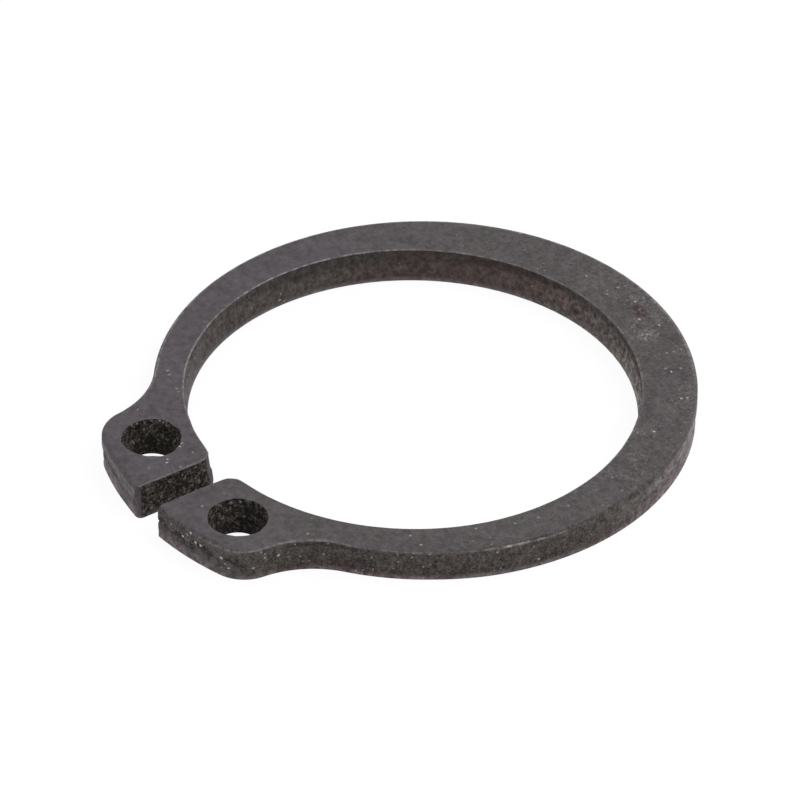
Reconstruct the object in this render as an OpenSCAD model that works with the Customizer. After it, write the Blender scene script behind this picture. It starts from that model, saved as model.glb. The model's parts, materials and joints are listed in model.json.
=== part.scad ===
// External retaining ring for a shaft groove: one stamping of spring steel.
// The section tapers from the back to two lugs, which carry the plier holes on either side of a gap.
// Millimetres, +Z up. The ring lies flat on z = 0, its bore is on the Z axis and its gap faces -Y.

/* [Ring] */
// Bore of the relaxed ring
bore_d = 18.2; // [16:0.1:22]
// Thickness of the strip it is stamped from
thickness = 1.53; // [1:0.01:2.5]
// Radial width of the section at the back, opposite the gap
back_w = 2.5; // [1.9:0.01:3.2]
// Radial width that the taper runs down to under the lugs
root_w = 1.29; // [0.9:0.01:1.6]

/* [Lugs] */
// Radial height of the lugs, from the bore to their outer edge
lug_h = 3.81; // [3.4:0.01:4.4]
// Width over both lugs
lug_w = 10.59; // [9.9:0.01:12]
// Radius of each lug's outer shoulder
shoulder_r = 1.66; // [1.3:0.01:1.9]
// Radius of the hollow sweep from each lug down to the ring
sweep_r = 4.03; // [2.5:0.01:5]
// Opening between the two lugs
gap_w = 1.19; // [0.6:0.01:1.8]
// Radius where each gap face turns into the bore
corner_r = 0.55; // [0.4:0.05:0.8]
// Radius where each gap face turns into the lugs' outer edge
tip_r = 0.25; // [0.2:0.05:0.6]

/* [Plier holes] */
// Diameter of the holes
hole_d = 1.9; // [1.4:0.01:2.2]
// How much further the holes reach, all round, at the upper face
hole_flare = 0.23; // [0.05:0.01:0.3]
// Distance between the centres of the two holes
hole_pitch = 6.2; // [5.8:0.01:6.6]
// Distance from the lugs' outer edge to the centres of the holes
hole_setback = 1.88; // [1.75:0.01:2]

/* [Sheared walls] */
// How far the rolled edge runs down the wall
roll_depth = 0.15; // [0.05:0.01:0.25]
// How far the rolled edge runs across the face
roll_w = 0.13; // [0.05:0.01:0.25]
// Turn of the rolled edge's arc, in degrees
roll_turn = 66; // [40:1:80]
// Share of the thickness over which the steel broke away
break_share = 0.6; // [0.3:0.01:0.7]
// How far the broken part of the wall leans back into the steel
break_w = 0.11; // [0.03:0.01:0.2]

/* [Hidden] */
$fn = 180;
// How far a cutter runs past the face that it cuts
over = 0.5;
// How far one arc of the outline runs into the next, so that they cross instead of only touching
blend = 0.015;

// The outer edge of the section is a circle that is set back from the bore's axis
bore_r = bore_d / 2;
outer_r = bore_r + (back_w + root_w) / 2;
outer_c = [0, (back_w - root_w) / 2];

// The lugs' outer edge is an arc about the bore, and the shoulders run tangent to it
lug_r = bore_r + lug_h;
shoulder_x = lug_w / 2 - shoulder_r;
shoulder_c = [shoulder_x, -sqrt(pow(lug_r - shoulder_r, 2) - pow(shoulder_x, 2))];

// The sweep runs tangent to the shoulder and to the outer circle
sweep_c = meeting(outer_c, outer_r + sweep_r - blend, shoulder_c, shoulder_r + sweep_r);

// The corner runs tangent to the gap face and to the bore
corner_x = gap_w / 2 + corner_r;
corner_c = [corner_x, -sqrt(pow(bore_r + corner_r, 2) - pow(corner_x, 2))];

// The tip runs tangent to the gap face and to the lugs' outer edge
tip_x = gap_w / 2 + tip_r;
tip_c = [tip_x, -sqrt(pow(lug_r - tip_r, 2) - pow(tip_x, 2))];

// The holes sit on a circle about the bore
hole_c = [hole_pitch / 2, -sqrt(pow(lug_r - hole_setback, 2) - pow(hole_pitch / 2, 2))];

// Height of the broken part of a wall, and how much of its lean a cutter needs to run on past the face
break_h = break_share * thickness;
run_on = 1 + over / break_h;

// Circle of the rolled edge: it passes through the two ends of the roll, with its middle inside the steel
roll_chord = norm([roll_w, roll_depth]);
roll_r = roll_chord / 2 / sin(roll_turn / 2);
roll_reach = roll_r * cos(roll_turn / 2) / roll_chord;
roll_in = roll_w / 2 + roll_depth * roll_reach;
roll_down = roll_depth / 2 + roll_w * roll_reach;

// Point where a circle of radius ra about a meets one of radius rb about b, on the +X side
function meeting(a, ra, b, rb) =
    let (
        apart = norm(b - a),
        along = (ra * ra - rb * rb + apart * apart) / (2 * apart),
        aside = sqrt(ra * ra - along * along),
        way = (b - a) / apart
    )
    a + along * way + aside * [-way.y, way.x];

// The same point on the other side of the gap
function flipped(p) = [-p.x, p.y];

// Places a shape at a point and at the same point on the other side of the gap
module on_both_sides(p) {
    for (place = [p, flipped(p)])
        translate(place)
            children();
}

// What the roll takes off an edge whose wall is at x = 0 and whose face is at y = 0, with steel at -X and -Y
module roll_off() {
    difference() {
        translate([-roll_in, -roll_down])
            square([roll_in + over, roll_down + over]);
        translate([-roll_in, -roll_down])
            circle(roll_r);
    }
}

// Half section of a disc of radius r: its upper edge is rolled and the lower part of its wall leans in
module disc_section(r) {
    difference() {
        polygon([[0, 0], [r - break_w, 0], [r, break_h], [r, thickness], [0, thickness]]);
        translate([r, thickness])
            roll_off();
    }
}

// Half section of a round cut of radius r that leaves the same wall as the disc
module sweep_section(r) {
    polygon([[0, -over], [r + break_w * run_on, -over], [r, break_h], [r, thickness + over], [0, thickness + over]]);
    translate([r, thickness])
        mirror([1, 0])
            roll_off();
}

// Half section of a cut of radius r, or of a slot of half width r, whose wall leans back at the upper face
module hole_section(r, lean) {
    from = thickness - break_h;
    polygon([[0, -over], [r, -over], [r, from], [r + lean * run_on, thickness + over], [0, thickness + over]]);
}

// The tapered ring, before the bore is cut
module ring_disc() {
    translate(outer_c)
        rotate_extrude()
            disc_section(outer_r);
}

// The lugs' common outer arc, from shoulder to shoulder
module lug_sector() {
    to = atan2(shoulder_c.y, shoulder_c.x);
    rotate(-180 - to)
        rotate_extrude(angle = 180 + 2 * to)
            disc_section(lug_r);
}

// The steel between the ring and the shoulders, hollowed by a sweep on each side
module lug_root() {
    difference() {
        linear_extrude(thickness)
            polygon([outer_c, sweep_c, shoulder_c, flipped(shoulder_c), flipped(sweep_c)]);
        on_both_sides(sweep_c)
            rotate_extrude()
                sweep_section(sweep_r);
    }
}

// The bore, with the edge that it leaves at the lower face rolled
module bore_cut() {
    rotate_extrude() {
        hole_section(bore_r, break_w);
        translate([bore_r, 0])
            rotate(180)
                roll_off();
    }
}

// Half of the gap, opening into the bore with a rounded corner and out between two rounded tips
module half_gap() {
    rotate([90, 0, 0])
        linear_extrude(lug_r + over)
            hole_section(gap_w / 2, break_w);
    difference() {
        translate([0, 0, -over])
            linear_extrude(thickness + 2 * over)
                polygon([[0, 0], corner_c, [0, corner_c.y]]);
        translate(corner_c)
            rotate_extrude()
                hole_section(corner_r + blend, -break_w);
    }
    translate([0, 0, -over])
        linear_extrude(thickness + 2 * over)
            difference() {
                polygon([tip_c, [0, tip_c.y], [0, -lug_r - over], tip_c * (1 + (tip_r + over) / norm(tip_c))]);
                translate(tip_c)
                    circle(tip_r + blend);
            }
}

module retaining_ring() {
    color([0.33, 0.32, 0.33])
        difference() {
            union() {
                ring_disc();
                lug_sector();
                lug_root();
                on_both_sides(shoulder_c)
                    rotate_extrude()
                        disc_section(shoulder_r + blend);
            }
            bore_cut();
            for (side = [0, 1])
                mirror([side, 0, 0])
                    half_gap();
            on_both_sides(hole_c)
                rotate_extrude()
                    hole_section(hole_d / 2, hole_flare);
        }
}

retaining_ring();
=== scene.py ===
"""A retaining ring of blackened spring steel, lying flat on a pale floor."""

import json
import math

import bpy
import numpy as np
from mathutils import Matrix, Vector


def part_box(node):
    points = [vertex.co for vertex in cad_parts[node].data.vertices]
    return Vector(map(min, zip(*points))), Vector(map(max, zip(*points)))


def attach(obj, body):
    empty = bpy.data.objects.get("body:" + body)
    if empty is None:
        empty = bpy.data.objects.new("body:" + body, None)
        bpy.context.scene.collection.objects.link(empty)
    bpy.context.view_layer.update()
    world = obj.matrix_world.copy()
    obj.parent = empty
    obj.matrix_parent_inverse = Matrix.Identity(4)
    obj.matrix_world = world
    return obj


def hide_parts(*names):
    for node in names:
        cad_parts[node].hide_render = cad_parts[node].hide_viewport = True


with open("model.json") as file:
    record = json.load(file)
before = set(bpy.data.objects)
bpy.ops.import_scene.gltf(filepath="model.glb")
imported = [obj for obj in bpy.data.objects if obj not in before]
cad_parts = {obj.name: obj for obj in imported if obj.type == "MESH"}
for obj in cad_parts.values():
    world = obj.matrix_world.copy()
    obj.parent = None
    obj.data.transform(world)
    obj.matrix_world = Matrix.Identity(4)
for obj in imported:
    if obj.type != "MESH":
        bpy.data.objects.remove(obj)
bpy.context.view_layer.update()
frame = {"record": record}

# Sizes in millimetres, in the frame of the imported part
MM = 0.001
mounts = {m["name"]: m for m in frame["record"]["mounts"]}
low, high = (np.array(corner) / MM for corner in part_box("retaining_ring"))

THICKNESS = high[2]
BORE_R = mounts["shaft_bore"]["dims"]["r_mm"]
OUTER_R = high[0]
OUTER_C = np.array([0.0, high[1] - OUTER_R])
LUG_R = BORE_R + 3.81
LUG_W = 10.59
SHOULDER_R = 1.66
SWEEP_R = 4.03
GAP = 1.19
CORNER_R = 0.55
TIP_R = 0.25
HOLE_C = np.array(mounts["plier_hole_right"]["pos_m"][:2]) / MM
HOLE_R = mounts["plier_hole_right"]["dims"]["r_mm"]
HOLE_FLARE = 0.23

# Sheared walls: a rolled edge, a smooth land and a break that leans back into the steel
ROLL_DEPTH = 0.15
ROLL_W = 0.13
ROLL_TURN = math.radians(66)
BREAK_H = 0.6 * THICKNESS
BREAK_W = 0.11
BURR_W = 0.045
BURR_H = 0.03

# Where the ring's strip ends and a lug's own grid begins, as angles about the sweep and from the gap
SWEEP_SPLIT = math.radians(145)
BORE_SPLIT = math.radians(32)

# Numbers of grid steps
STRIP_STEPS = 300
LUG_STEPS = {"sweep": 28, "shoulder": 30, "lug": 54, "tip": 20, "gap": 56, "corner": 20, "bore": 48}
BODY_ROWS = 14
FACE_SHARES = np.array([0, 0.035, 0.07, 0.12, 0.2, 0.32, 0.44, 0.56, 0.68, 0.8, 0.88, 0.93, 0.965, 1])

# How rough the broken walls and the holes' rims are
ROUGH = 0.03
FINE_ROUGH = 0.018
WAVE = 0.035
CHIP = 0.1
CORNER_WEAR = 0.09
CORNER_REACH = 0.4

# How the walls change along the ring, each as angles from the gap in degrees and the values there
OUTER_ROLL = (
    [-180, -28, -14, -4, 4, 14, 22, 28, 38, 50, 70, 86, 110, 130, 180],
    [1, 1, 1.2, 1.5, 1.7, 1.3, 0.9, 0.6, 0.6, 0.9, 1, 1.25, 1.8, 1, 1],
)
OUTER_LEAN = (
    [-180, -42, -26, -8, -3, 3, 14, 26, 60, 72, 115, 135, 180],
    [1, 1, 0.6, 0.5, 0.2, 0.8, 0.7, 0.6, 0.85, 0.5, 0.5, 0.4, 1],
)
OUTER_WAIST = ([-180, -40, -26, 0, 16, 24, 180], [0, 0, 0.07, 0.05, 0.04, 0, 0])
OUTER_DARK = (
    [-180, -40, -24, -2, 4, 10, 17, 21, 26, 31, 80, 100, 118, 135, 180],
    [1, 0.7, 0.38, 0.32, 0.36, 0.42, 0.48, 0.62, 0.78, 0.95, 0.95, 0.92, 0.62, 0.45, 0.8],
)
OUTER_UPPER = ([20, 27, 45, 70], [0, 0.25, 0.2, 0])
# Painted light from the floor: how much lighter the outer wall is towards its foot
OUTER_FOOT_BOUNCE = ([-180, 18, 26, 44, 70, 180], [0.75, 0.75, 0.25, 0.25, 0.7, 0.7])
ROLL_DARK = (
    [-30, 0, 5, 24, 30, 60, 80, 88, 100, 115, 130, 150],
    [0, 0.25, 0.6, 0.55, 0.4, 0.38, 0.62, 0.75, 0.7, 0.62, 0.3, 0],
)
# Painted light from the floor on the outer wall's foot, drawn as bright steel
FOOT_BOUNCE = (
    [-180, 0, 4, 15, 22, 32, 42, 56, 66, 98, 108, 180],
    [0.3, 0.3, 0.5, 0.45, 0.2, 0.3, 0.5, 0.45, 0.3, 0.3, 0.18, 0.18],
)
# How high the painted floor light reaches on the outer wall
FOOT_BOUNCE_TOP = ([-180, 0, 4, 15, 22, 180], [0.28, 0.28, 0.65, 0.6, 0.28, 0.28])
OUTER_STREAK = ([-180, -40, -26, 0, 3, 180], [0, 0, 0.85, 0.75, 0, 0])
LUG_BLACK = ([0, 2, 8, 18, 25], [0, 1.2, 1.35, 1.3, 0])
LUG_BLACK_DEPTH = ([0, 5, 10, 15, 20, 24], [0.42, 0.55, 0.52, 0.56, 0.62, 0.85])
OUTER_SPECKS = ([-40, -24, 0, 4, 7, 15, 19, 30, 45, 95, 125], [0, 0.2, 0.1, 0.2, 0.9, 0.8, 0.15, 0.26, 0.2, 0.16, 0.05])
OUTER_WARM = (
    [-180, -30, -4, 4, 18, 26, 40, 60, 95, 112, 121, 180],
    [0.3, 0.6, 0.5, 0.3, 0.05, 0.15, 0.25, 0.28, 0.2, 0.25, 0.9, 0.6],
)
LOW_WARM = ([-180, -10, 4, 14, 22, 90, 100, 180], [0.4, 0.4, 0.7, 0.6, 0.4, 0.4, 0.6, 0.6])
# Worn steel and a painted highlight along the rolled edge: a glinting line at the roll's lower end
ROLL_WEAR_AND_GLINT = (
    [-180, -20, 8, 17, 25, 29, 62, 71, 76, 80, 86, 92, 140, 180],
    [0, 0, 0, 0.1, 0.1, 0, 0, 0.3, 1, 0.75, 0.45, 0.05, 0, 0],
)
WALL_RUB = ([-40, -26, -4, 0, 6, 20, 26, 96, 116, 140, 160], [0, 0.27, 0.27, 0.03, 0.06, 0.06, 0, 0, 0.34, 0.44, 0])
RIGHT_GLINT = ([102, 110, 120, 130, 145], [0, 0.09, 0.15, 0.28, 0.28])
# Painted highlight on the face's edge at the back and sides, where the roll is seen at a grazing angle
FAR_EDGE_HIGHLIGHT = ([-180, -35, -25, 146, 156, 180], [0.4, 0.4, 0, 0, 0.4, 0.4])
# Painted highlight: a thin pale line along the front's rolled edge, and its depth below the face
FRONT_GLINT_LINE = ([8, 14, 20, 25, 30, 38, 46, 62, 70], [0, 0.35, 0.5, 0.42, 0.4, 0.42, 0.4, 0.3, 0])
LINE_DEPTH = ([14, 22, 28, 36, 44, 70], [0.115, 0.115, 0.05, 0.05, 0.115, 0.12])
BORE_END_RUB = (
    [-180, -165, -148, -130, -70, -50, -20, 100, 125, 150, 172, 180],
    [0.22, 0.18, 0.1, 0, 0, 0.08, 0.1, 0.3, 0.52, 0.55, 0.32, 0.22],
)
# Painted shadow: a dark band below the bore's top edge
BORE_SHADOW_BAND = ([-180, -165, -140, -90, -60, 110, 130, 165, 180], [0.5, 0.4, 0.22, 0.22, 0.3, 0.2, 0.9, 0.75, 0.5])
BORE_BEVEL = ([-180, -60, -42, -9, 0, 2, 180], [1, 1, 1.8, 1.6, 1.6, 1, 1])
BORE_DARK = (
    [-180, -165, -150, -130, -90, -75, -58, -36, -8, 100, 135, 160, 180],
    [0.64, 0.8, 1, 1.1, 1.1, 0.95, 0.8, 0.4, 0.5, 0.4, 0.3, 0.5, 0.64],
)
BORE_WARM = ([-180, -150, -120, -100, -60, -30, 100, 140, 180], [0.6, 0.75, 0.6, 0.25, 0.25, 0.4, 0.4, 0.8, 0.6])
BORE_WARM_TOP = ([-180, -165, -150, -115, -100], [0.2, 0.7, 1, 0.8, 0])
# The bore's top edge: worn steel with a painted highlight along it
BORE_EDGE_WEAR_AND_GLINT = (
    [-180, -165, -140, -110, -80, -40, -8, 8, 40, 120, 150, 180],
    [0.15, 0.2, 0.3, 0.6, 0.65, 0.45, 0.3, 0.1, 0.1, 0.35, 0.35, 0.15],
)
# Channels of the finish on the mesh; the first also holds painted shade on the walls, the third painted highlights and
# painted light from the floor
FINISH = ("sheared_and_shade", "raw", "wear_and_glint", "warm", "specked")


def angle(way):
    return math.atan2(way[1], way[0])


def meeting(a, ra, b, rb):
    """Point where a circle of radius ra about a meets one of radius rb about b, to the left of the way from a to b."""
    apart = np.linalg.norm(b - a)
    along = (ra**2 - rb**2 + apart**2) / (2 * apart)
    way = (b - a) / apart
    return a + along * way + math.sqrt(ra**2 - along**2) * np.array([-way[1], way[0]])


shoulder_x = LUG_W / 2 - SHOULDER_R
SHOULDER_C = np.array([shoulder_x, -math.sqrt((LUG_R - SHOULDER_R) ** 2 - shoulder_x**2)])
SWEEP_C = meeting(OUTER_C, OUTER_R + SWEEP_R, SHOULDER_C, SHOULDER_R + SWEEP_R)
corner_x = GAP / 2 + CORNER_R
CORNER_C = np.array([corner_x, -math.sqrt((BORE_R + CORNER_R) ** 2 - corner_x**2)])
corner_turn = (math.pi + angle(-CORNER_C)) / 2
CORNER_MID = CORNER_C + CORNER_R * np.array([math.cos(corner_turn), math.sin(corner_turn)])
tip_x = GAP / 2 + TIP_R
TIP_C = np.array([tip_x, -math.sqrt((LUG_R - TIP_R) ** 2 - tip_x**2)])

roll_chord = math.hypot(ROLL_W, ROLL_DEPTH)
ROLL_R = roll_chord / 2 / math.sin(ROLL_TURN / 2)
roll_reach = 0.5 / math.tan(ROLL_TURN / 2)
ROLL_IN = ROLL_W / 2 + ROLL_DEPTH * roll_reach
ROLL_DOWN = ROLL_DEPTH / 2 + ROLL_W * roll_reach


def lumps(points, cell, seed):
    """Value noise: seeded random numbers on a cubic lattice of the given cell, blended between corners by a smooth step."""
    size = 32
    table = np.random.default_rng(seed).random((size, size, size))
    place = points / cell
    base = np.floor(place).astype(int)
    part = place - base
    part = part * part * (3 - 2 * part)
    value = np.zeros(points.shape[:-1])
    for corner in np.ndindex(2, 2, 2):
        near = (base + corner) % size
        weight = np.prod(np.where(corner, part, 1 - part), axis=-1)
        value += weight * table[near[..., 0], near[..., 1], near[..., 2]]
    return value


def roll_cut(depth):
    """How far the rolled edge stands back at a depth below the face: the circle of the roll, and nothing below its end."""
    depth = np.clip(depth, 0, ROLL_DEPTH)
    return ROLL_IN - np.sqrt(ROLL_R**2 - (ROLL_DOWN - depth) ** 2)


def break_cut(height, lean):
    """How far the break stands back at a height above its foot: a straight lean, and nothing below the foot."""
    return lean * np.clip(height, 0, BREAK_H) / BREAK_H


def wall_heights():
    """Heights of the wall's rows from the upper face to the lower one, close together at both edges."""
    roll = np.array([0, 0.01, BURR_H, 0.055, 0.085, 0.115, ROLL_DEPTH])
    body = np.linspace(ROLL_DEPTH, THICKNESS - ROLL_DEPTH, BODY_ROWS)[1:-1]
    return THICKNESS - np.concatenate([roll, body, THICKNESS - roll[::-1]])


def arc(centre, radius, start, stop, steps):
    """Points and radial directions of an arc, evenly spaced in angle, without its last point."""
    turn = start + (stop - start) * np.arange(steps) / steps
    way = np.stack([np.cos(turn), np.sin(turn)], -1)
    return centre + radius * way, way


def ease(value, low, high):
    """Runs smoothly from 0 at low to 1 at high, as 3t^2 - 2t^3."""
    part = np.clip((value - low) / (high - low), 0, 1)
    return part * part * (3 - 2 * part)


def rough_cut(points):
    """How far a broken wall stands back at random: waves, coarse lumps and finer ones, never proud of the true wall."""
    return WAVE * lumps(points, 1.3, 10) + ROUGH * lumps(points, 0.38, 11) + FINE_ROUGH * lumps(points, 0.15, 12)


def line(start, stop, steps):
    """Points and outward directions of the gap's straight face, evenly spaced, without its last point."""
    y = start + (stop - start) * np.arange(steps) / steps
    return np.stack([np.full(steps, GAP / 2), y], -1), np.tile([-1.0, 0], (steps, 1))


def outline(side):
    """Outline of one half at its land: points, outward directions, the name of each stretch, and how far along it each point is.
    It runs from the back along the outer edge, round the lug and its tip, along the gap and back along the bore.
    Each stretch is an arc, or a straight line at the gap, that is tangent to the next."""
    steps = LUG_STEPS
    down = -math.pi / 2
    sweep_start, sweep_stop = angle(OUTER_C - SWEEP_C), angle(SHOULDER_C - SWEEP_C)
    outer_stop = angle(SWEEP_C - OUTER_C)
    outer_len = (math.pi / 2 - outer_stop) * OUTER_R
    split_len = (SWEEP_SPLIT - sweep_start) * SWEEP_R
    outer_steps = round(STRIP_STEPS * outer_len / (outer_len + split_len))
    axis = np.zeros(2)
    stretches = [
        ("outer", 1, arc(OUTER_C, OUTER_R, math.pi / 2, outer_stop, outer_steps)),
        ("outer", -1, arc(SWEEP_C, SWEEP_R, sweep_start, SWEEP_SPLIT, STRIP_STEPS - outer_steps)),
        ("outer", -1, arc(SWEEP_C, SWEEP_R, SWEEP_SPLIT, sweep_stop, steps["sweep"])),
        ("outer", 1, arc(SHOULDER_C, SHOULDER_R, angle(SWEEP_C - SHOULDER_C), angle(SHOULDER_C), steps["shoulder"])),
        ("outer", 1, arc(axis, LUG_R, angle(SHOULDER_C), angle(TIP_C), steps["lug"])),
        ("tip", 1, arc(TIP_C, TIP_R, angle(TIP_C), -math.pi, steps["tip"])),
        ("gap", 1, line(TIP_C[1], CORNER_C[1], steps["gap"])),
        ("corner", 1, arc(CORNER_C, CORNER_R, math.pi, angle(-CORNER_C), steps["corner"])),
        ("bore", -1, arc(axis, BORE_R, angle(CORNER_C), down + BORE_SPLIT, steps["bore"])),
        ("bore", -1, arc(axis, BORE_R, down + BORE_SPLIT, math.pi / 2, STRIP_STEPS)),
        ("bore", -1, (np.array([[0, BORE_R]]), np.array([[0.0, 1]]))),
    ]
    points = np.concatenate([p for _, _, (p, _) in stretches])
    ways = np.concatenate([sign * way for _, sign, (_, way) in stretches])
    names = np.concatenate([np.full(len(p), name) for name, _, (p, _) in stretches])
    along = np.concatenate([np.arange(len(p)) / len(p) for _, _, (p, _) in stretches])
    return points * [side, 1], ways * [side, 1], names, along


def half_wall(side, z):
    """Wall of one half of the ring: columns along the outline, rows of height, and the channels x, y, z and the finish.
    Each point stands back from the outline, against its outward direction, by the roll, the break and the rough.
    The finish is told by the height and by the tables above."""
    points, ways, names, along = outline(side)
    outer, tip, gap, corner, bore = ((names == name)[:, None] for name in ("outer", "tip", "gap", "corner", "bore"))
    around = np.degrees(np.arctan2(points[:, 0], -points[:, 1]))[:, None]
    along = along[:, None]
    inner = np.where(outer, 0, np.where(tip, ease(along, 0, 1), 1))
    bored = np.where(bore, 1, np.where(corner, along, 0))
    shape = (len(points), len(z))
    height = np.broadcast_to(z, shape)
    depth = THICKNESS - z
    solid = np.concatenate([np.broadcast_to(points[:, None], shape + (2,)), height[..., None]], -1)

    def by_angle(table):
        return np.interp(around, *table)

    # How far the wall stands back
    roll = by_angle(OUTER_ROLL)
    waist_z = 0.45 * THICKNESS + 0.35 * (lumps(solid * [1, 1, 0], 0.9, 13) - 0.5)
    waist = by_angle(OUTER_WAIST) * np.exp(-(((z - waist_z) / 0.12) ** 2))
    outer_cut = roll * roll_cut(depth / roll) + by_angle(OUTER_LEAN) * break_cut(BREAK_H - z, BREAK_W) + waist
    bevel = by_angle(BORE_BEVEL)
    burr = BURR_W * bevel * np.clip(1 - depth / (BURR_H * bevel), 0, 1)
    from_corner = np.linalg.norm(points - CORNER_MID * [side, 1], axis=1)[:, None]
    wear = CORNER_WEAR * np.exp(-((from_corner / CORNER_REACH) ** 2)) * ease(z, 0.2, 0.9)
    inner_cut = break_cut(z - THICKNESS + BREAK_H, BREAK_W) + burr + wear + 0.75 * bored * roll_cut(z)
    broken = (1 - inner) * ease(BREAK_H - z, 0, 0.12) + inner * ease(z - THICKNESS + BREAK_H, 0, 0.12)
    broken = broken * np.clip(np.minimum(depth, z) / 0.1, 0, 1)
    cut = (1 - inner) * outer_cut + inner * inner_cut + broken * rough_cut(solid)
    flat = points[:, None] - ways[:, None] * cut[..., None]

    # How dark the wall is, partly its sheared finish and partly painted shade that makes every wall darker than the
    # faces, with black patches under the near lug's rolled edge
    below_roll = ease(depth / roll, 0.8 * ROLL_DEPTH, 1.25 * ROLL_DEPTH)
    below_edge = 1.0 * (depth > BURR_H * bevel)
    # Painted light from the floor: the walls grow lighter towards the bottom
    light = ease(z, 0.42, 0)
    upper = by_angle(OUTER_UPPER) * np.exp(-(((depth - 0.24) / 0.14) ** 2))
    streak = by_angle(OUTER_STREAK) * np.exp(-(((z - waist_z) / 0.17) ** 2))
    wander = by_angle(LUG_BLACK_DEPTH) + 0.3 * (lumps(solid * [1, 1, 0], 0.5, 32) - 0.5)
    black = np.exp(-(((depth - wander) / 0.2) ** 2)) * np.clip(6 * lumps(solid * [0.6, 0.6, 1], 0.3, 31) - 1.75, 0, 1)
    pitted = np.clip(6 * lumps(solid * [1, 1, 1.4], 0.2, 33) - 3.6, 0, 1) * ease(depth, 0.4, 0.7) * ease(z, 0.3, 0.6)
    black = np.clip(by_angle(LUG_BLACK) * np.maximum(black, 0.5 * pitted), 0, 1) * below_roll
    outer_dark = below_roll * np.clip((1 - by_angle(OUTER_FOOT_BOUNCE) * light) * by_angle(OUTER_DARK) + streak, 0, 1)
    roll_dark = by_angle(ROLL_DARK) * ease(depth, 0.01, 0.07) * (1 - 0.25 * ease(depth, 0.35, 0.7))
    outer_dark = np.maximum(outer_dark, roll_dark)
    outer_dark = outer_dark + below_roll * upper + black * (1.7 - outer_dark)
    # Painted shadow below the bore's top edge
    shadow_band = by_angle(BORE_SHADOW_BAND) * np.exp(-(((depth - 0.22) / 0.3) ** 2))
    # The bore grows lighter towards the bottom: painted light from the floor
    bore_dark = below_edge * np.minimum((1 - 0.8 * ease(z, 0.55, 0)) * by_angle(BORE_DARK) - 0.05 + shadow_band, 1.17)
    raw = np.where(gap, 1, np.where(tip, ease(along, 0.6, 1), np.where(corner, ease(along, 0.35, 0), 0))) * below_edge
    sheared_and_shade = np.where(outer, outer_dark, np.where(bore, bore_dark, np.maximum(raw, 0.45 * below_edge)))

    # Where the coat is rubbed to bright steel, where highlights and light from the floor are painted as bright steel,
    # where it is brown and where bright grains show
    on_roll = np.abs(depth / roll - 0.88 * ROLL_DEPTH) < 0.25 * ROLL_DEPTH
    outer_wear_and_glint = np.maximum(by_angle(ROLL_WEAR_AND_GLINT) * on_roll, by_angle(WALL_RUB) * below_roll)
    # Painted highlight: a pale band high on the outer wall's right, which also takes the brown out there
    glint = by_angle(RIGHT_GLINT) * np.exp(-(((z - 0.98) / 0.18) ** 2))
    outer_wear_and_glint = np.maximum(outer_wear_and_glint, by_angle(FAR_EDGE_HIGHLIGHT) * ease(depth, 0.1, 0.04)) + glint
    outer_wear_and_glint = np.maximum(outer_wear_and_glint, by_angle(FRONT_GLINT_LINE) * np.exp(-(((depth - by_angle(LINE_DEPTH)) / 0.035) ** 2)))
    # Edges of the faces at the bore, corner and gap: worn steel with a painted highlight
    inner_wear_and_glint = np.where(bore, by_angle(BORE_EDGE_WEAR_AND_GLINT), 0.25) * (1 - below_edge)
    inner_wear_and_glint = inner_wear_and_glint + by_angle(BORE_END_RUB) * ease(depth, 0.25, 0.55) * bore
    # Painted light from the floor on the foot of every wall, stronger and higher in the bore
    foot_bounce = np.where(bore, 0.42, by_angle(FOOT_BOUNCE)) * ease(z, np.where(bore, 0.3, by_angle(FOOT_BOUNCE_TOP)), 0)
    wear_and_glint = np.where(outer, outer_wear_and_glint, inner_wear_and_glint) + foot_bounce
    bore_warm = by_angle(BORE_WARM) * np.maximum(by_angle(BORE_WARM_TOP), ease(depth, 0.2, 0.6))
    outer_warm = np.clip(by_angle(OUTER_WARM) - 3 * glint, 0, 1)
    warm = np.where(outer, outer_warm * below_roll, np.where(bore, bore_warm, 0.3))
    warm = warm + by_angle(LOW_WARM) * ease(z, 0.65, 0.05)
    near_black = np.exp(-(((depth - by_angle(LUG_BLACK_DEPTH)) / 0.22) ** 2))
    specked = np.where(outer, by_angle(OUTER_SPECKS) * np.where(around < 19, near_black, below_roll), 0.03 * bore)
    channels = [np.broadcast_to(c, shape)[..., None] for c in (z, sheared_and_shade, raw, wear_and_glint, warm, specked)]
    return np.concatenate([flat, *channels], -1)


def hole_wall(side, z, rim):
    """Wall of a plier hole at the given directions: its radius is the land's plus the flare of the break,
    plus the rough and, towards the upper face, chips of the rim. The channels are those of the outer wall."""
    depth = THICKNESS - z
    radius = HOLE_R + break_cut(z - THICKNESS + BREAK_H, HOLE_FLARE)
    centre = HOLE_C * [side, 1]
    shape = (len(rim), len(z))
    height = np.broadcast_to(z, shape)
    solid = np.concatenate([centre + radius[None, :, None] * rim[:, None], height[..., None]], -1)
    upper = np.clip((z - THICKNESS + BREAK_H) / BREAK_H, 0, 1)
    chips = CHIP * np.clip(lumps(solid * [1, 1, 0.5], 0.4, 21) - 0.35, -0.3, 1) * upper
    rough = (ROUGH * lumps(solid, 0.3, 22) + FINE_ROUGH * lumps(solid, 0.14, 23)) * np.clip(upper * 3, 0, 1)
    flat = centre + (radius + chips + rough)[..., None] * rim[:, None]
    below_edge = 1.0 * (depth > 0)
    raw = below_edge * (0.75 + 0.25 * np.clip(upper * 4, 0, 1))
    specked = 0.8 * below_edge * ease(depth, 0.3, 0.05)
    channels = [np.broadcast_to(c, shape)[..., None] for c in (z, below_edge, raw, 0.12 * (1 - below_edge), 0.15, specked)]
    return np.concatenate([flat, *channels], -1)


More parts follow.
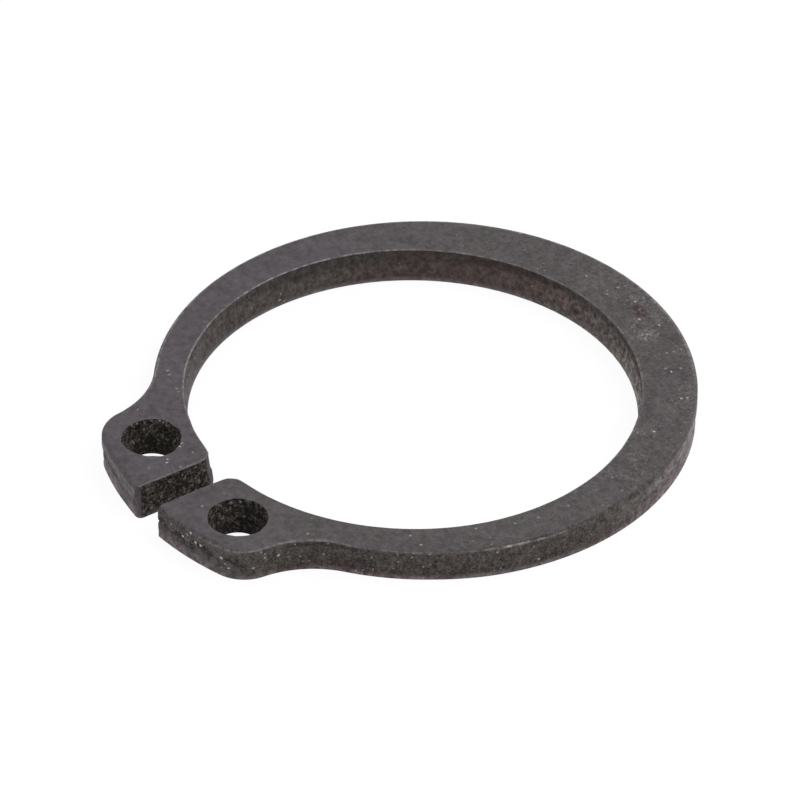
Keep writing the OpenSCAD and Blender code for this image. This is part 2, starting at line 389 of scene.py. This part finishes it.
def between(a, b):
    """Grid that runs straight from the points a to the points b, closer together at both ends, with clear channels inside."""
    share = FACE_SHARES[None, :, None]
    grid = a[:, None] * (1 - share) + b[:, None] * share
    grid[:, 1:-1, 3:] = 0
    return grid


def grid_quads(start, columns, rows, closed=False):
    """Corner numbers of the quads of a grid of points numbered column by column from start."""
    column = np.arange(columns if closed else columns - 1)[:, None]
    row = np.arange(rows - 1)[None, :]
    after = (column + 1) % columns
    a, b = start + column * rows + row, start + after * rows + row
    return np.stack([a, b, b + 1, a + 1], -1).reshape(-1, 4)


def half_ring(side):
    """Points and quads of one half: its wall, the faces' strip along the ring, each face's grid round the plier hole, and the hole's wall."""
    z = wall_heights()
    wall = half_wall(side, z)
    first, last = STRIP_STEPS, len(wall) - 1 - STRIP_STEPS
    grids = [(wall, False, False)]
    loops = []
    for row in (0, -1):
        edge = wall[:, row]
        strip = between(edge[: first + 1], edge[last:][::-1])
        cross = strip[first, 1:-1][::-1]
        loops.append(np.concatenate([edge[first : last + 1], cross]))
        grids.append((strip, False, row == 0))
    rim = loops[0][:, :2] - HOLE_C * [side, 1]
    rim /= np.linalg.norm(rim, axis=1, keepdims=True)
    hole = hole_wall(side, z, rim)
    grids.append((hole, True, True))
    grids.append((between(loops[0], hole[:, 0]), True, True))
    grids.append((between(loops[1], hole[:, -1]), True, False))
    points, quads, start = [], [], 0
    for grid, closed, flip in grids:
        columns, rows, channels = grid.shape
        corners = grid_quads(start, columns, rows, closed)
        quads.append(corners[:, ::-1] if flip != (side < 0) else corners)
        points.append(grid.reshape(-1, channels))
        start += columns * rows
    return np.concatenate(points), np.concatenate(quads)


def ring_mesh():
    """The two halves joined at the plane of symmetry, with every doubled point made one."""
    right, right_quads = half_ring(1)
    left, left_quads = half_ring(-1)
    points = np.concatenate([right, left])
    quads = np.concatenate([right_quads, left_quads + len(right)])
    _, keep, number = np.unique(np.round(points[:, :3], 5), axis=0, return_index=True, return_inverse=True)
    points, quads = points[keep], number.reshape(-1)[quads]
    mesh = bpy.data.meshes.new("retaining_ring_steel")
    mesh.from_pydata(points[:, :3] * MM, [], quads.tolist())
    for name, values in zip(FINISH, points[:, 3:].T):
        mesh.attributes.new(name, "FLOAT", "POINT").data.foreach_set("value", values.astype(np.float32))
    mesh.polygons.foreach_set("use_smooth", np.ones(len(mesh.polygons), bool))
    mesh.set_sharp_from_angle(angle=math.radians(32))
    return mesh


ring = bpy.data.objects.new("retaining_ring_steel", ring_mesh())
bpy.context.scene.collection.objects.link(ring)
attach(ring, "root")
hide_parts("retaining_ring")

# Colours of the finish
FACE_DARK = (0.055, 0.050, 0.051)
FACE_PALE = (0.125, 0.112, 0.115)
PURPLE = (1.02, 0.98, 1.07)
OLIVE = (0.99, 1.01, 0.95)
WALL_DARK = (0.021, 0.018, 0.017)
WALL_PALE = (0.128, 0.111, 0.102)
BLACK = (0.012, 0.010, 0.012)
BROWN = (0.118, 0.080, 0.074)
RAW_DARK = (0.0085, 0.0072, 0.0060)
RAW_PALE = (0.250, 0.220, 0.190)
SPECK = (0.28, 0.27, 0.25)
BRIGHT = (0.62, 0.62, 0.58)
PIT = (0.030, 0.027, 0.027)
RUST = (0.034, 0.018, 0.016)
PALE_RUST = (0.078, 0.050, 0.046)
SCUFF = (0.24, 0.23, 0.20)
DENT = (0.16, 0.16, 0.16)
# Bare steel, also the colour of painted highlights and of painted light from the floor
BARE_AND_HIGHLIGHT = (0.42, 0.40, 0.40)
WARM_BARE_AND_HIGHLIGHT = (0.42, 0.32, 0.35)
CRUST = (0.36, 0.31, 0.27)

# Marks on the upper face: the middle and the radius of the rust spot and of the small pale dent
FACE_RUST = ((0.92, 10.48, THICKNESS), 0.4)
FACE_DENT = ((2.52, 9.83, THICKNESS), 0.3)

# Single bright grains: their middles, on the upper face and on the near lug's wall; the face's grain at (5.02, 9.23) is
# a painted glint
FACE_GRAINS_AND_GLINT = ((-1.56, -10.84), (-1.42, -10.98), (-3.68, -11.64), (-2.0, -9.95), (5.02, 9.23), (6.70, 8.51),
               (6.78, 8.75), (7.85, 6.34), (2.24, 10.63), (0.38, 10.76), (1.46, 10.19))
LUG_GRAINS = ((2.31, -12.70, 0.97), (3.02, -12.55, 1.07), (3.28, -12.49, 1.06), (2.75, -12.61, 1.37),
              (4.29, -12.17, 0.93), (4.52, -11.99, 0.49), (5.15, -11.22, 0.56), (5.39, -10.19, 0.92))
FINE_GRAINS = ((2.66, 10.24), (3.90, 9.80), (3.98, 10.08), (4.05, 10.42), (4.72, 9.14), (5.06, 9.66),
               (-0.81, 10.71), (-0.87, 10.25), (-6.44, -7.60), (-6.18, -7.68), (-5.25, -7.96), (-5.03, -8.01),
               (9.60, -1.70), (9.80, -0.73), (9.84, 0.70), (9.34, 3.20), (10.25, 3.04), (8.98, -3.20), (7.90, -5.59),
               (-2.14, -9.83), (-2.15, -9.73), (-0.89, -10.66), (-1.38, -9.76), (-4.97, -10.03))
FACE_GRAIN_R = 0.06
FINE_GRAIN_R = 0.07
FINE_GRAIN_SHARE = 0.4
LUG_GRAIN_R = 0.085


def tree_maker(tree):
    """Gives a function that adds a node to the tree, with its settings and its inputs, which are values or other nodes' outputs."""

    def add(kind, inputs=(), **settings):
        made = tree.nodes.new(kind)
        for name, value in settings.items():
            setattr(made, name, value)
        for name, value in dict(inputs).items():
            socket = made.inputs[name]
            if isinstance(value, bpy.types.NodeSocket):
                tree.links.new(value, socket)
            elif isinstance(value, tuple) and len(value) == 3 and socket.type == "RGBA":
                socket.default_value = (*value, 1)
            else:
                socket.default_value = value
        return made

    return add


steel = bpy.data.materials.new("blackened_steel")
steel.use_nodes = True
steel.node_tree.nodes.clear()
add = tree_maker(steel.node_tree)


def grain(scale, detail=1.0, roughness=0.5, distortion=0.0, place=None):
    """Noise of the given number of grains per millimetre, from 0 to 1."""
    values = {"Vector": place or in_mm, "Scale": scale, "Detail": detail, "Roughness": roughness, "Distortion": distortion}
    return add("ShaderNodeTexNoise", values).outputs[0]


def stretch(value, low, high, to_low=0.0, to_high=1.0):
    """The value carried from one range to another, and held at the ends."""
    values = {"Value": value, "From Min": low, "From Max": high, "To Min": to_low, "To Max": to_high}
    return add("ShaderNodeMapRange", values, interpolation_type="SMOOTHSTEP").outputs["Result"]


def math_of(operation, a, b):
    made = add("ShaderNodeMath", {0: a, 1: b}, operation=operation)
    return made.outputs[0]


def mix(share, a, b, blend="MIX"):
    made = add("ShaderNodeMix", {0: share, 6: a, 7: b}, data_type="RGBA", blend_type=blend)
    return made.outputs[2]


def mix_value(share, a, b):
    return add("ShaderNodeMix", {0: share, 2: a, 3: b}, data_type="FLOAT").outputs[0]


def channel(name):
    return add("ShaderNodeAttribute", attribute_name=name).outputs["Fac"]


def crystals(scale, place=None):
    """A random value in each cell of a random lattice of the given number of cells per millimetre."""
    made = add("ShaderNodeTexVoronoi", {"Vector": place or in_mm, "Scale": scale})
    return made, add("ShaderNodeSeparateColor", {"Color": made.outputs["Color"]}).outputs[0]


def dots(scale, radius, share):
    """Small uneven dots, one in each cell of a random lattice for the given share of the cells."""
    made, value = crystals(scale, upset)
    near = stretch(made.outputs["Distance"], radius * scale, 0.3 * radius * scale)
    return math_of("MULTIPLY", near, math_of("LESS_THAN", value, share))


def spot(middle, radius, ragged):
    """A ragged spot about a point: the distance from its middle, ruffled by noise."""
    away = add("ShaderNodeVectorMath", {0: in_mm, 1: middle}, operation="DISTANCE").outputs["Value"]
    ruffle = math_of("MULTIPLY", grain(4.0, 2), ragged)
    return stretch(math_of("ADD", away, ruffle), radius + ragged, 0.4 * radius + 0.5 * ragged)


def single(middle, radius):
    """One small dot about a point, uneven in outline."""
    away = add("ShaderNodeVectorMath", {0: upset, 1: middle}, operation="DISTANCE").outputs["Value"]
    return stretch(away, radius, 0.4 * radius)


coordinates = add("ShaderNodeTexCoord")
in_mm = add("ShaderNodeVectorMath", {0: coordinates.outputs["Object"], "Scale": 1 / MM}, operation="SCALE").outputs[0]
sheared_and_shade, raw, wear_and_glint, warm, specked = (channel(name) for name in FINISH)

# The same place moved a little at random, so that dots made from it are uneven
shake = add("ShaderNodeTexNoise", {"Vector": in_mm, "Scale": 9.0}).outputs["Color"]
shake = add("ShaderNodeVectorMath", {0: shake, 1: (0.5, 0.5, 0.5)}, operation="SUBTRACT").outputs[0]
shake = add("ShaderNodeVectorMath", {0: shake, "Scale": 0.16}, operation="SCALE").outputs[0]
upset = add("ShaderNodeVectorMath", {0: in_mm, 1: shake}, operation="ADD").outputs[0]

# How far a point lies to the right, as the photograph shows the ring, in millimetres
to_right = add("ShaderNodeVectorMath", {0: in_mm, 1: (0.574, 0.819, 0.0)}, operation="DOT_PRODUCT").outputs["Value"]

# Faces: a dull mottled coat, smooth and purple on the left, gritty and grey on the right
grit = math_of("MULTIPLY", math_of("SUBTRACT", grain(9.0, 2, 0.6), 0.5), stretch(to_right, -8.0, 6.0, 0.3, 0.8))
mottle = math_of("ADD", grain(3.5, 4, 0.65), math_of("MULTIPLY", grain(1.1, 2), 0.35))
mottle = stretch(math_of("ADD", mottle, grit), 0.3, 1.05)
across = add("ShaderNodeVectorMath", {0: in_mm, 1: (0.024, 0.018, 0.0)}, operation="DOT_PRODUCT").outputs["Value"]
tint_share = math_of("ADD", stretch(across, -0.25, 0.0, 0.1, 0.65), math_of("SUBTRACT", grain(1.5, 2), 0.5))
face = mix(1.0, mix(mottle, FACE_DARK, FACE_PALE), mix(tint_share, PURPLE, OLIVE), "MULTIPLY")

# Sheared walls: dark grains and faint streaks along the shear, calmer in the bore, with brown patches and black ones;
# their darkness is partly painted shade
flat = add("ShaderNodeVectorMath", {0: in_mm, 1: (1.0, 1.0, 0.0)}, operation="MULTIPLY").outputs[0]
from_axis = add("ShaderNodeVectorMath", {0: flat}, operation="LENGTH").outputs["Value"]
drawn = add("ShaderNodeVectorMath", {0: in_mm, 1: (1.0, 1.0, 0.35)}, operation="MULTIPLY").outputs[0]
streaks = math_of("MULTIPLY", grain(5.0, 2, 0.6, place=drawn), 0.35)
blotches = math_of("MULTIPLY", grain(2.4, 1), 0.26)
in_bore = stretch(from_axis, BORE_R + 0.25, BORE_R + 0.15)
grains = mix_value(in_bore, grain(9.0, 3, 0.7), grain(5.2, 3, 0.75))
wall_grain = stretch(math_of("ADD", grains, math_of("ADD", streaks, blotches)), 0.54, 1.1)
calm = math_of("MULTIPLY", in_bore, stretch(to_right, 3.0, 7.0, 0.28, 0.15))
wall_grain = mix_value(calm, wall_grain, 0.48)
wall = mix(wall_grain, WALL_DARK, WALL_PALE)
brown_share = math_of("ADD", warm, math_of("MULTIPLY", math_of("SUBTRACT", grain(1.8, 3, 0.6), 0.5), 1.2))
wall = mix(stretch(brown_share, 0.2, 0.8), wall, mix(wall_grain, WALL_DARK, BROWN))

# Raw walls of the gap and of the plier holes: nearly black, with dull crystals that catch the light
_, facets = crystals(14.0, upset)
facets = mix_value(0.5, facets, stretch(grain(9.0, 2, 0.6), 0.28, 0.72))
raw_grain = math_of("MULTIPLY", math_of("POWER", facets, 2.9), stretch(grain(3.5, 2), 0.3, 0.7, 0.2, 1.5))
raw_grain = math_of("MULTIPLY", raw_grain, stretch(raw, 0.6, 1.0, 0.5, 1.0))
raw_wall = mix(raw_grain, RAW_DARK, RAW_PALE)

# The coat is worn off the half-dark stretches of wall in patches, more of them as the channel falls
# The channel's darkness on the walls is partly painted shade
share = math_of("MINIMUM", sheared_and_shade, 1.0)
half = math_of("MULTIPLY", share, math_of("SUBTRACT", 4.0, math_of("MULTIPLY", share, 4.0)))
patches = math_of("MULTIPLY", math_of("SUBTRACT", grain(6.0, 4, 0.7), 0.5), math_of("MULTIPLY", half, 1.15))
dark = stretch(math_of("ADD", share, patches), 0.2, 0.8)
colour = mix(dark, face, mix(stretch(raw, 0.0, 0.6), wall, raw_wall))
ragged = math_of("MULTIPLY", math_of("SUBTRACT", 0.5, wall_grain), stretch(sheared_and_shade, 1.18, 1.45, 0.0, 0.8))
colour = mix(stretch(math_of("ADD", sheared_and_shade, ragged), 1.0, 1.4), colour, mix(wall_grain, BLACK, WALL_DARK))

# Bright grains: scattered and in clusters on the faces, and where the channel says so on the walls
cluster = stretch(math_of("ADD", grain(1.1, 1), math_of("MULTIPLY", to_right, 0.01)), 0.56, 0.7)
on_face = stretch(sheared_and_shade, 0.3, 0.0)
pits = math_of("MULTIPLY", dots(5.0, 0.08, 0.5), math_of("MULTIPLY", cluster, on_face))
colour = mix(math_of("MULTIPLY", pits, 0.7), colour, PIT)
specks = math_of("MULTIPLY", dots(4.3, 0.065, 0.55), math_of("MULTIPLY", cluster, 0.7))
specks = math_of("MULTIPLY", math_of("MAXIMUM", specks, dots(1.3, 0.085, 0.25)), on_face)
colour = mix(specks, colour, SPECK)
specked = math_of("MULTIPLY", specked, stretch(grain(1.3, 1), 0.4, 0.62, 0.2, 1.3))
wall_specks = math_of("MULTIPLY", dots(5.5, 0.058, specked), 0.6)
# Bright grains of the face, one of them a painted glint
for x, y in FACE_GRAINS_AND_GLINT:
    wall_specks = math_of("MAXIMUM", wall_specks, single((x, y, THICKNESS), FACE_GRAIN_R))
for x, y in FINE_GRAINS:
    fine = math_of("MULTIPLY", single((x, y, THICKNESS), FINE_GRAIN_R), FINE_GRAIN_SHARE)
    wall_specks = math_of("MAXIMUM", wall_specks, fine)
for middle in LUG_GRAINS:
    wall_specks = math_of("MAXIMUM", wall_specks, single(middle, LUG_GRAIN_R))
colour = mix(math_of("MULTIPLY", wall_specks, 0.8), colour, BRIGHT)

# Pale curled scuffs on the right end of the face: thin ridges of a noise, in patches
away = add("ShaderNodeMath", {0: math_of("SUBTRACT", grain(2.6, 2, 0.6), 0.5)}, operation="ABSOLUTE").outputs[0]
scuffs = math_of("MULTIPLY", stretch(away, 0.035, 0.0), stretch(grain(0.8, 1), 0.45, 0.6))
scuffs = math_of("MULTIPLY", scuffs, math_of("MULTIPLY", stretch(to_right, 5.0, 9.0, 0.0, 0.45), on_face))
colour = mix(scuffs, colour, SCUFF)

# Marks and wear, with painted highlights and painted light from the floor drawn as bright steel
rust = math_of("MULTIPLY", spot(*FACE_RUST, 0.45), stretch(grain(5.0, 2), 0.38, 0.56))
colour = mix(rust, colour, mix(mottle, RUST, PALE_RUST))
colour = mix(math_of("MULTIPLY", spot(*FACE_DENT, 0.5), stretch(grain(8.0, 1), 0.4, 0.7)), colour, DENT, "ADD")
crust = math_of("MULTIPLY", in_bore, stretch(to_right, 2.5, 5.5))
worn = mix_value(crust, stretch(grain(3.4, 3, 0.65), 0.38, 0.64, 0.15, 1.0), stretch(grain(4.4, 4, 0.75), 0.42, 0.67, 0.0, 1.6))
# Wear, painted highlights and painted floor light, broken up by noise
wear = math_of("MULTIPLY", wear_and_glint, worn)
crust = math_of("MULTIPLY", crust, stretch(grain(2.2, 2), 0.4, 0.6))
colour = mix(wear, colour, mix(crust, mix(warm, BARE_AND_HIGHLIGHT, WARM_BARE_AND_HIGHLIGHT), CRUST))

shine = mix_value(dark, stretch(mottle, 0, 1, 0.52, 0.64), stretch(wall_grain, 0, 1, 0.8, 0.62))
shine = mix_value(math_of("MAXIMUM", wear, math_of("MAXIMUM", specks, wall_specks)), shine, 0.38)
height = mix_value(dark, math_of("MULTIPLY", mottle, 0.2), wall_grain)
height = mix_value(raw, height, math_of("MULTIPLY", raw_grain, 1.6))
bump = add("ShaderNodeBump", {"Height": height, "Distance": 0.035 * MM, "Strength": 0.8})
surface = add(
    "ShaderNodeBsdfPrincipled",
    {"Base Color": colour, "Roughness": shine, "Normal": bump.outputs[0], "Specular IOR Level": 0.1},
)
add("ShaderNodeOutputMaterial", {"Surface": surface.outputs[0]})
ring.data.materials.append(steel)

# Pale floor: white to the camera and in reflections, with part of the shadow kept, and plain pale to the rest of the light
FLOOR_HALF = 3.0
WHITE_SHARE = 0.9
floor_mesh = bpy.data.meshes.new("floor")
f = FLOOR_HALF
floor_mesh.from_pydata([(-f, -f, 0), (f, -f, 0), (f, f, 0), (-f, f, 0)], [], [(0, 1, 2, 3)])
floor = bpy.data.objects.new("floor", floor_mesh)
bpy.context.scene.collection.objects.link(floor)


def seen(add):
    """1 for rays that come straight from the camera, from a mirror-like surface or through glass."""
    path = add("ShaderNodeLightPath").outputs
    either = add("ShaderNodeMath", {0: path["Is Camera Ray"], 1: path["Is Glossy Ray"]}, operation="MAXIMUM")
    return add("ShaderNodeMath", {0: either.outputs[0], 1: path["Is Transmission Ray"]}, operation="MAXIMUM").outputs[0]


pale = bpy.data.materials.new("pale_floor")
pale.use_nodes = True
pale.node_tree.nodes.clear()
add = tree_maker(pale.node_tree)
matt = add("ShaderNodeBsdfDiffuse", {"Color": (0.9, 0.9, 0.9)})
white = add("ShaderNodeEmission", {"Color": (1, 1, 1), "Strength": 1.03})
share = add("ShaderNodeMath", {0: seen(add), 1: WHITE_SHARE}, operation="MULTIPLY")
both = add("ShaderNodeMixShader", {0: share.outputs[0], 1: matt.outputs[0], 2: white.outputs[0]})
add("ShaderNodeOutputMaterial", {"Surface": both.outputs[0]})
floor.data.materials.append(pale)

# White surroundings, a little dimmer as a light, and a soft lamp above on the right of the camera
SKY = 0.72
LAMP_SHARE = 0.33
LAMP_AZIMUTH = math.radians(135)
LAMP_ELEVATION = math.radians(55)
LAMP_DISTANCE = 0.5
LAMP_SIZE = 0.35
world = bpy.data.worlds.new("studio")
bpy.context.scene.world = world
world.use_nodes = True
world.node_tree.nodes.clear()
add = tree_maker(world.node_tree)
level = add("ShaderNodeMapRange", {"Value": seen(add), "To Min": SKY, "To Max": 1.0})
sky = add("ShaderNodeBackground", {"Color": (1, 1, 1), "Strength": level.outputs["Result"]})
add("ShaderNodeOutputWorld", {"Surface": sky.outputs[0]})

lamp = bpy.data.objects.new("soft_lamp", bpy.data.lights.new("soft_lamp", "AREA"))
bpy.context.scene.collection.objects.link(lamp)
lamp.data.size = LAMP_SIZE
lamp.data.energy = LAMP_SHARE * math.pi**2 * LAMP_DISTANCE**2 / math.sin(LAMP_ELEVATION)
lamp_turn = Matrix.Rotation(LAMP_AZIMUTH, 4, "Z") @ Matrix.Rotation(math.pi / 2 - LAMP_ELEVATION, 4, "X")
lamp.matrix_world = lamp_turn @ Matrix.Translation((0, 0, LAMP_DISTANCE))

# Camera of the photograph: azimuth and elevation about the ring, the point that it looks at, and its distance
AZIMUTH = 55.09
ELEVATION = 37.53
ROLL = 0.512
LOOK_AT = np.array([-1.207, 0.205, 0.0])
DISTANCE = 407.4
PIXELS_PER_MM = 24.694
IMAGE_W = 800
SENSOR = 36.0
camera = bpy.data.objects.new("camera", bpy.data.cameras.new("camera"))
bpy.context.scene.collection.objects.link(camera)
bpy.context.scene.camera = camera
camera.data.sensor_width = SENSOR
camera.data.lens = PIXELS_PER_MM * DISTANCE * SENSOR / IMAGE_W
turn = Matrix.Rotation(math.radians(AZIMUTH), 4, "Z") @ Matrix.Rotation(math.radians(90 - ELEVATION), 4, "X")
place = Matrix.Translation(LOOK_AT * MM) @ turn @ Matrix.Translation((0, 0, DISTANCE * MM))
camera.matrix_world = place @ Matrix.Rotation(math.radians(ROLL), 4, "Z")

bpy.context.scene.view_settings.view_transform = "Standard"
